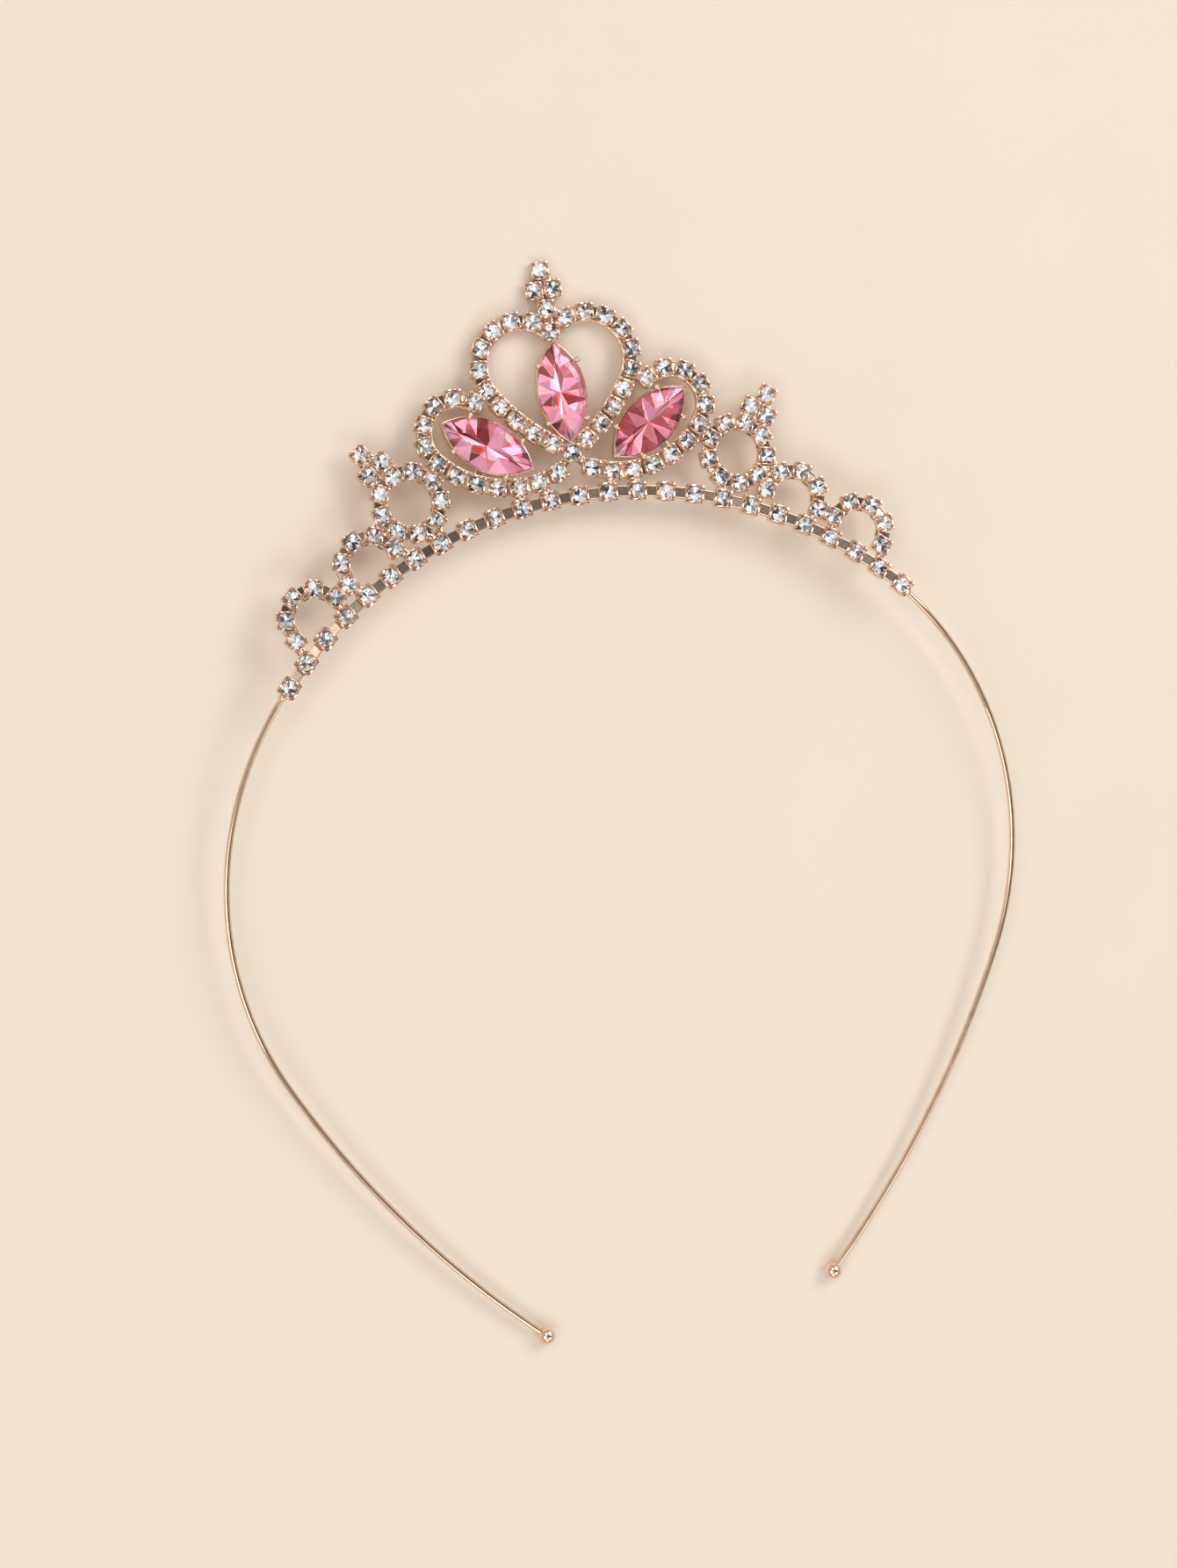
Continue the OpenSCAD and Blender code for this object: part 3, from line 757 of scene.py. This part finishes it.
def navette_mesh():
    """A pointed navette with a long table; its back facets meet along a narrow keel."""
    length, width, corners = NAVETTE_LENGTH + NAVETTE_PLAY, NAVETTE_WIDTH + NAVETTE_PLAY, 14
    girdle_z, edge, top, tip = NAVETTE_GIRDLE, 0.1, NAVETTE_TOP, 0.56
    table, star, star_rise = 0.6, 0.8, 0.8
    keel_length, keel_width, keel_rise = 0.66, 0.24, 0.24

    def ring(share, z, count=corners, half_step=False):
        return lens_ring(length * share, width * share, z, count, half_step)
    keel = lens_ring(length * keel_length, width * keel_width, tip + keel_rise, corners, True)
    return cut_stone("navette", ring(table, top), ring(star, girdle_z + star_rise, corners, True),
                     ring(1, girdle_z, 2 * corners), ring(1, girdle_z - edge, 2 * corners),
                     keel, (0, 0, tip))


# A setting from the outside of its back, over its rim and down inside: how far each ring is drawn in,
# and its height
SETTING_PROFILE = [(0.35, 0.0), (0.1, 0.1), (0.0, 0.5), (0.02, 1.5),
                   (0.07, 1.74), (0.15, 1.8), (0.22, 1.74), (0.28, 0.5)]
SETTING_CORNERS = 48


def setting_mesh():
    """A navette's setting: side walls drawn in to the back, and a thin rim round the stone."""
    rings = []
    for inset, z in SETTING_PROFILE:
        width = setting_width - 2 * inset
        rings.append(lens_ring(width * NAVETTE_LENGTH / NAVETTE_WIDTH, width, z, SETTING_CORNERS))
    return loft("setting", rings, smooth_angle=50)


def prong_mesh():
    """A claw on a setting's side: a tapered shank that ends in a round tip with a small bead beside it."""
    shank_foot, shank_neck, shank_height, shank_middle = 0.36, 0.28, 1.5, 0.95
    tip, tip_y, tip_z = 0.48, 0.06, 1.82
    bead, bead_y, bead_z = 0.27, -0.42, 2.02
    work = bmesh.new()
    bmesh.ops.create_cone(work, cap_ends=True, segments=10, radius1=shank_foot, radius2=shank_neck,
                          depth=shank_height, matrix=Matrix.Translation((0, 0, shank_middle)))
    for radius, y, z, sides in ((tip, tip_y, tip_z, 14), (bead, bead_y, bead_z, 10)):
        bmesh.ops.create_uvsphere(work, u_segments=sides, v_segments=sides // 2 + 1, radius=radius,
                                  matrix=Matrix.Translation((0, y, z)))
    return finished(work, bpy.data.meshes.new("prong"), smooth_angle=50)


# The two directions of the slow waves in a drop's skin; the longer, the closer the waves are
WAVES = (Vector((5, 3, 0)), Vector((2, 0, 4)))


def solder_mesh(length, width, height, lumps):
    """A drop of solder with a lumpy skin."""
    work = bmesh.new()
    bmesh.ops.create_icosphere(work, subdivisions=2, radius=1)
    for v in work.verts:
        lump = 1 + lumps * math.sin(v.co.dot(WAVES[0])) * math.cos(v.co.dot(WAVES[1]))
        v.co = Vector((v.co.x * length, v.co.y * width, v.co.z * height)) * lump
    return finished(work, bpy.data.meshes.new("solder"), smooth_angle=180)


def ball_mesh(side):
    """A ball drilled to its middle for the wire, with a broken edge at the mouth of its hole."""
    radius, hole, broken_edge = BALL / 2 - 0.001, WIRE_SEEN / 2 + 0.03, 0.06
    mouth = math.degrees(math.asin((hole + broken_edge) / radius))
    steps, count = 22, 40
    turns = [k * (180 - mouth) / steps for k in range(1, steps + 1)]
    profile = [(radius * sin(turn), -radius * cos(turn)) for turn in turns]
    profile += [(hole, radius * cos(mouth) - broken_edge), (hole, -BALL_PLAY)]
    points = [(0, 0, -radius)]
    points += [p for r, z in profile for p in round_ring(r, z, count)]
    points.append((0, 0, -BALL_PLAY))
    last = len(points) - 1
    faces = [[0, 1 + (i + 1) % count, 1 + i] for i in range(count)]
    faces += bands(1, len(profile) - 1, count)
    faces += [[last, last - count + i, last - count + (i + 1) % count] for i in range(count)]
    mesh = new_mesh("ball", points, faces, smooth_angle=35)
    to_wire = Matrix.Rotation(math.radians(90 - tail_to), 4, "Z") @ Matrix.Rotation(math.radians(-90), 4, "X")
    mesh.transform(band_pose @ Matrix.Translation((band_end.x, band_end.y, 0)) @ to_wire)
    if side < 0:
        mesh.transform(Matrix.Scale(-1, 4, (1, 0, 0)))
        mesh.flip_normals()
    return mesh


def in_scene(name, data):
    """A new object in the scene."""
    made = bpy.data.objects.new(name, data)
    bpy.context.scene.collection.objects.link(made)
    return made


def helper(mesh):
    """An object that only lends its mesh to a node tree."""
    return bpy.data.objects.new(mesh.name + " part", mesh)


def places(cups, spans=None, leans=None):
    """A mesh of loose points, one for each cup, with its heading, span and lean along its heading."""
    mesh = bpy.data.meshes.new("places")
    mesh.from_pydata([(c[0], c[1], 0) for c in cups], [], [])
    for kind, values in (("heading", [math.radians(c[2]) for c in cups]),
                         ("span", spans or [1.0] * len(cups)), ("lean", leans or [0.0] * len(cups))):
        mesh.attributes.new(kind, "FLOAT", "POINT").data.foreach_set("value", values)
    return mesh


def polyline(runs):
    """A mesh of edges through runs of points."""
    points, edges = [], []
    for run in runs:
        first = len(points)
        points += [tuple(p) if len(p) == 3 else (*p, 0) for p in run]
        edges += [(k, k + 1) for k in range(first, len(points) - 1)]
    mesh = bpy.data.meshes.new("paths")
    mesh.from_pydata(points, edges, [])
    return mesh


def grown(name, mesh, tree, pose=crown_pose, **inputs):
    """Runs a tree on a mesh, keeps the result as a plain mesh and puts it in its place."""
    base = in_scene(name + " base", mesh)
    modifier = base.modifiers.new("tree", "NODES")
    modifier.node_group = tree.group
    for socket, value in inputs.items():
        modifier[tree.ids[socket.replace("_", " ")]] = value
    result = bpy.data.meshes.new_from_object(base.evaluated_get(bpy.context.evaluated_depsgraph_get()))
    bpy.data.objects.remove(base)
    result.name = name
    result.transform(TO_METRES @ pose)
    return result


def piece(name, mesh, slot, *nodes):
    """A finished piece of the headband that stands for CAD nodes."""
    made = in_scene(name, mesh)
    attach(made, "root")
    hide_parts(*nodes)


# The crown

right_strings = [heart_side, loop_cups, ring_cups, ring_cross, inner_arch, outer_arch]
small_cups = [heart_bottom, heart_notch] + middle_cross
small_cups += [c for string in right_strings for c in string + mirrored(string)]

cup_tree, part_tree, stone_tree = make_cup_tree(), make_part_tree(), make_stone_tree()
wire_tree, rail_tree = make_wire_tree(), make_rail_tree()


def frame_piece(name, mesh, tree, **inputs):
    """A piece of the soldered frame, grown on a mesh of places or paths."""
    piece(name, grown(name, mesh, tree, **inputs), "metal", "frame")


def frame_parts(name, spots, part, metal, spans=None, leans=None, **inputs):
    """A piece of the soldered frame with one part on each spot."""
    frame_piece(name, places(spots, spans, leans), part_tree, Part=helper(part), Metal=metal, **inputs)


# The row's cups are a little wider than the others: how far each kind is drawn in, and the square
# that its claws stand on
claw_part = helper(claw_mesh())
for name, cups, inset, claw_square in (("row_cups", row_cups, 0.02, 2.76),
                                       ("small_cups", small_cups, 0.11, 2.6)):
    frame_piece(name, places(cups), cup_tree, Cup=helper(cup_mesh(CUP / 2 - inset)), Claw=claw_part,
                Claw_square=claw_square, Wobble=0.025, Seed=4, Metal=cup_metal)

LINK_OVERLAP = 0.5
SHORTEST_LINK = 0.7
FOOT_OVERLAP = 0.9


def links(string, closed=False):
    """The links between the cups of a string."""
    following = string[1:] + string[:1] if closed else string[1:]
    return [link(a, b) for a, b in zip(string, following)]


def reflected(bars):
    """The same bars on the other side."""
    return [(-x, y, 180 - heading, span) for x, y, heading, span in bars]


def link(a, b):
    """A link between two cups: x, y, heading and span."""
    return ((a[0] + b[0]) / 2, (a[1] + b[1]) / 2, bearing((b[0] - a[0], b[1] - a[1])),
            max(between(a, b) - CUP + LINK_OVERLAP, SHORTEST_LINK))


def foot(cup, navette):
    """The short bar that carries a side setting on its loop."""
    way = Vector(navette[:2]) - Vector(cup[:2])
    at = Vector(cup[:2]) + way.normalized() * (CUP / 2 + SIDE_NAVETTE_GAP) / 2
    return (at.x, at.y, bearing(way), SIDE_NAVETTE_GAP - CUP / 2 + FOOT_OVERLAP)


neighbours = [(heart_side, loop_cups), (heart_side, middle_cross), (loop_cups, row_cups),
              (ring_cups, loop_cups), (ring_cups, row_cups), (ring_cups, ring_cross), (ring_cups, inner_arch),
              (inner_arch, row_cups), (inner_arch, outer_arch), (outer_arch, row_cups)]
soldered = [link(a, b) for string, other in neighbours for a, b in joints(string, other)]
soldered += [link(heart_bottom, heart_side[0]), link(heart_side[-1], heart_notch),
             link(heart_bottom, loop_cups[0]), link(ring_cross[0], ring_cross[2]),
             link(ring_cross[1], ring_cross[2])]
chain_links = [l for string in (heart_side, loop_cups, inner_arch, outer_arch) for l in links(string)]
chain_links += links(ring_cups, closed=True)
chain_links += reflected(chain_links)
solder_bars = soldered + [foot(*pair) for pair in joints(loop_cups, [side_navette])]
solder_bars += reflected(solder_bars)
solder_bars += links([heart_notch] + middle_cross)
chain_link = ribbed("chain link", length=1, width=2.3, low=0.1, high=0.65, rib_top=0.9, aside=1.1)
frame_parts("chain_links", chain_links, chain_link, painted_shade_link_metal, spans=[l[3] for l in chain_links],
            Wobble=0.1, Seed=8)
solder_bar = box_part("solder bar", length=1, width=1.4, low=0.1, high=0.85, edge=0.1)
frame_parts("solder_bars", solder_bars, solder_bar, cup_metal, spans=[l[3] for l in solder_bars])

# The row's flat links lean more and more towards its ends
END_LEANS = (-2, -5, -7.5, -7.5, -7.5)
ROW_LINK_OVERLAP = 0.2
row_links = links(row_cups)
row_gap = ROW_PITCH - CUP + ROW_LINK_OVERLAP
right_leans = [0.0] * (ROW_SIDE_CUPS - len(END_LEANS)) + [math.radians(lean) for lean in END_LEANS]
row_leans = [-lean for lean in reversed(right_leans)] + right_leans
row_strip = ribbed("row strip", row_gap, width=1.8, low=0.05, high=0.45, rib_top=0.92, aside=0.82, edge=0.06)
frame_parts("row_strips", row_links, row_strip, rail_metal, leans=row_leans)
row_plate = box_part("row plate", row_gap, width=1.46, low=0.3, high=0.72, edge=0.06)
frame_parts("row_plates", row_links, row_plate, painted_shade_link_metal, leans=row_leans, Wobble=0.03, Seed=7)


# The side rails: how far they run inside the cups' middles, their height, and where they bend
PATH_RAIL_INSET = 1.5
PATH_RAIL_STEP = 0.8
CUP_RAIL_INSET = 1.38
RAIL_BEND = 1.1
RAIL_Z = 0.62


def inside(path):
    """A run of points along the inner side of a path of arcs."""
    run = []
    for arc in path:
        centre, radius, first, last = arc
        radius -= PATH_RAIL_INSET
        count = max(2, round(arc_length(arc) / PATH_RAIL_STEP))
        angles = [first + (last - first) * k / count for k in range(count)]
        if arc is path[-1]:
            angles.append(last)
        run += [(centre.x + radius * cos(angle), centre.y + radius * sin(angle)) for angle in angles]
    return run


def inner_edge(cups):
    """A run of points along the inner sides of cups, straight from one cup to the next."""
    run = []
    for x, y, heading in cups:
        ahead = Vector((cos(heading), sin(heading)))
        side = Vector((x, y)) + CUP_RAIL_INSET * Vector((-ahead.y, ahead.x))
        ends = [side + RAIL_BEND * ahead, side - RAIL_BEND * ahead]
        if run and (ends[1] - run[-1]).length < (ends[0] - run[-1]).length:
            ends.reverse()
        run += ends
    return run


rail_runs = [inside(heart_path), inside(loop_path), inner_edge(inner_arch), inner_edge(outer_arch),
             inner_edge(reversed(ring_cups + ring_cups[:1]))]
rail_runs += [[(-x, y) for x, y in run] for run in rail_runs]
rail_runs = [[(x, y, RAIL_Z) for x, y in run] for run in rail_runs]
frame_piece("side_rails", polyline(rail_runs), rail_tree, Metal=rail_metal)

drops = [(x, y, heading) for x, y, heading, span in soldered]
drops += mirrored(drops)
drop = solder_mesh(length=0.62, width=0.5, height=0.38, lumps=0.16)
frame_parts("solder", drops, drop, cup_metal, Lift=0.75, Uneven_size=0.4, Wobble=0.7, Seed=11)


# The settings, each with two prongs on each side; a prong stands a share of the way to the tip

PRONG_SHARE = 0.55
PRONG_OUT = 0.12
navette_places = [middle_navette, side_navette, mirrored([side_navette])[0]]
frame_parts("settings", navette_places, setting_mesh(), cup_metal)
prong_places = []
for x, y, heading in navette_places:
    for end in (-1, 1):
        for side, turn in ((-1, 180), (1, 0)):
            along = end * PRONG_SHARE * setting_length / 2
            out = side * (on_lens(setting_length, setting_width, along) + PRONG_OUT)
            prong_places.append((x + along * cos(heading) - out * sin(heading),
                                 y + along * sin(heading) + out * cos(heading), heading + turn))
frame_parts("prongs", prong_places, prong_mesh(), cup_metal, Wobble=0.05, Seed=5)


# The stones

FULL_TURN = 6.28
rhinestone_part = helper(rhinestone_mesh())
stone_strings = {
    "row_stones": row_cups,
    "heart_stones": [heart_bottom, heart_notch] + heart_side + mirrored(heart_side),
    "cross_stones": middle_cross,
    "loop_stones_right": loop_cups, "loop_stones_left": mirrored(loop_cups),
    "ring_stones_right": ring_cups + ring_cross, "ring_stones_left": mirrored(ring_cups + ring_cross),
    "arch_stones_right": inner_arch + outer_arch, "arch_stones_left": mirrored(inner_arch + outer_arch)}
for seed, (name, cups) in enumerate(stone_strings.items()):
    stones = grown(name, places(cups), stone_tree, Stone=rhinestone_part, Turn=FULL_TURN, Wobble=0.03,
                   Seed=20 + seed, Glass=clear_glass, Foil=clear_foil)
    piece("cut_" + name, stones, "clear_stone", name)

navette_part = helper(navette_mesh())
for seed, (name, place) in enumerate(zip(("middle", "right", "left"), navette_places)):
    stone = grown("navette " + name, places([place]), stone_tree, Stone=navette_part, Seed=40 + seed,
                  Glass=pink_glass, Foil=pink_foil)
    piece("cut_navette_" + name, stone, "pink_stone", "navette_" + name)


# The band

def arc_run(centre, radius, first, last, step=1.0):
    """Points along an arc, about a step apart; angles count from straight up, clockwise."""
    count = max(2, round(math.radians(abs(last - first)) * radius / step))
    angles = [first + (last - first) * k / count for k in range(count + 1)]
    return [Vector((centre.x + radius * sin(angle), centre.y + radius * cos(angle), 0)) for angle in angles]


sunk = Vector((0, 0, wire_z))
right_half = [crown_pose @ (p + sunk) for p in arc_run(row_centre, ROW_RADIUS, 0, start_at)]
right_half += [band_pose @ p for p in arc_run(temple_centre, TEMPLE_RADIUS, start_at, tail_from)[1:]]
right_half += [band_pose @ p for p in arc_run(tail_centre, TAIL_RADIUS, tail_from, tail_to)[1:]]
wire_run = [Vector((-p.x, p.y, p.z)) for p in reversed(right_half)] + right_half[1:]
frame_piece("band_wire", polyline([wire_run]), wire_tree, pose=Matrix.Identity(4), Metal=wire_metal)
bead_places = [(side * band_start.x, band_start.y, -side * start_at) for side in (-1, 1)]
frame_parts("band_beads", bead_places, solder_mesh(BEAD / 2, BEAD / 2, BEAD / 2, lumps=0.06), cup_metal,
            pose=band_pose)

for name, side in (("right", 1), ("left", -1)):
    ball = ball_mesh(side)
    ball.transform(TO_METRES)
    ball.materials.append(ball_metal)
    piece("polished_ball_" + name, ball, "metal", "ball_tip_" + name)


# The studio: a sheet of cream paper, a white room with two dark patches, and five softboxes, in metres

PAPER_HALF = 3
PAPER_SHADES = ((0.9, 0.775, 0.64, 1), (0.93, 0.805, 0.67, 1))
# The softboxes' light fades away between these distances from the crown, and a glow makes up for it
LIT_TO = 0.22
DARK_FROM = 1.3
FULL_GLOW = 0.57

floor_mesh = bpy.data.meshes.new("studio floor")
corners = [(x * PAPER_HALF, y * PAPER_HALF, 0) for x, y in ((-1, -1), (1, -1), (1, 1), (-1, 1))]
floor_mesh.from_pydata(corners, [], [[0, 1, 2, 3]])
floor = in_scene("studio_floor", floor_mesh)
paper = Finish("cream paper", Roughness=0.75)
place = paper.place()
fibre = paper.get("ShaderNodeTexNoise", Vector=place, Scale=40.0, Detail=4.0)
cream = paper.mix(fibre, *PAPER_SHADES)
away = paper.add("ShaderNodeVectorMath", {"operation": "LENGTH", 0: place}).outputs["Value"]
paper.feed(paper.shader, Base_Color=cream, Emission_Color=cream,
           Emission_Strength=paper.fade(away, LIT_TO, DARK_FROM, 0.0, FULL_GLOW))
floor_mesh.materials.append(paper.material)

ROOM_LIGHT = 0.495
ROOM_COLOUR = (0.98, 0.99, 1.0, 1)
HORIZON_COLOUR = (0.96, 0.83, 0.69, 1)
# Each dark patch's direction, the angles from it at which its edge and its core begin, and its light:
# plates and stones mirror the first, and the wire mirrors the second as a dark line
DARK_PATCHES = (((0.1, 0.12, 0.9877), 19, 4, 0.09), ((0.36, -0.2, 0.911), 20, 10, 0.05))

world = bpy.context.scene.world or bpy.data.worlds.new("studio")
bpy.context.scene.world = world
world.use_nodes = True
sky = Bench(world.node_tree)
direction = sky.add("ShaderNodeTexCoord").outputs["Generated"]
level = ROOM_LIGHT
for towards, edge, core, light in DARK_PATCHES:
    across = sky.add("ShaderNodeVectorMath", {"operation": "DOT_PRODUCT", 0: direction, 1: towards})
    level = sky.fade(across.outputs["Value"], cos(edge), cos(core), level, light)
# Past the paper's edge the view shows the paper's own colour instead of the white room
seen = sky.add("ShaderNodeLightPath").outputs["Is Camera Ray"]
sky.feed(world.node_tree.nodes["Background"], Color=sky.mix(seen, ROOM_COLOUR, HORIZON_COLOUR),
         Strength=sky.get("ShaderNodeMix", Factor=seen, A=level, B=1.0))

LAMP_DISTANCE = 0.9


def softbox(name, azimuth, elevation, width, height, glow, colour=(1, 1, 1)):
    """A panel of soft light that looks at the crown; its glow is its brightness."""
    towards = Vector((cos(azimuth) * cos(elevation), sin(azimuth) * cos(elevation), sin(elevation)))
    light = bpy.data.lights.new(name, "AREA")
    light.shape = "RECTANGLE"
    light.size, light.size_y = width, height
    light.energy = glow * math.pi * width * height
    light.color = colour
    lamp = in_scene(name, light)
    lamp.location = LAMP_DISTANCE * towards
    lamp.rotation_euler = towards.to_track_quat("Z", "Y").to_euler()


softbox("key softbox", 35, 44, 0.6, 0.5, 3.0, (1.0, 0.985, 0.96))
softbox("left softbox", 200, 48, 0.5, 0.45, 1.8)
softbox("back softbox", 120, 55, 0.4, 0.35, 2.0)
softbox("right softbox", 300, 50, 0.4, 0.35, 2.0)
softbox("front softbox", 255, 36, 0.3, 0.4, 1.8)

# The camera on the crown's flat face: its place in millimetres, and where its right, top and back point
CAMERA_PLACE = (-132.5, -36.55, 487.0)
CAMERA_RIGHT = (0.952607, -0.173665, 0.249759)
CAMERA_TOP = (0.173161, 0.984597, 0.024165)
CAMERA_BACK = (-0.250108, 0.020228, 0.968007)
# Its focal length, in pixels of a picture of this height
FOCAL_PIXELS = 3500
PICTURE_HEIGHT = 1785
SENSOR = 36

eye = bpy.data.cameras.new("camera")
eye.sensor_width = SENSOR
eye.lens = FOCAL_PIXELS / PICTURE_HEIGHT * SENSOR
camera = in_scene("camera", eye)
camera_axes = Matrix((CAMERA_RIGHT, CAMERA_TOP, CAMERA_BACK)).transposed().to_4x4()
view = crown_pose @ Matrix.Translation(CAMERA_PLACE) @ camera_axes
view.translation = view.translation * MILLIMETRE
camera.matrix_world = view
bpy.context.scene.camera = camera
bpy.context.scene.view_settings.view_transform = "Standard"
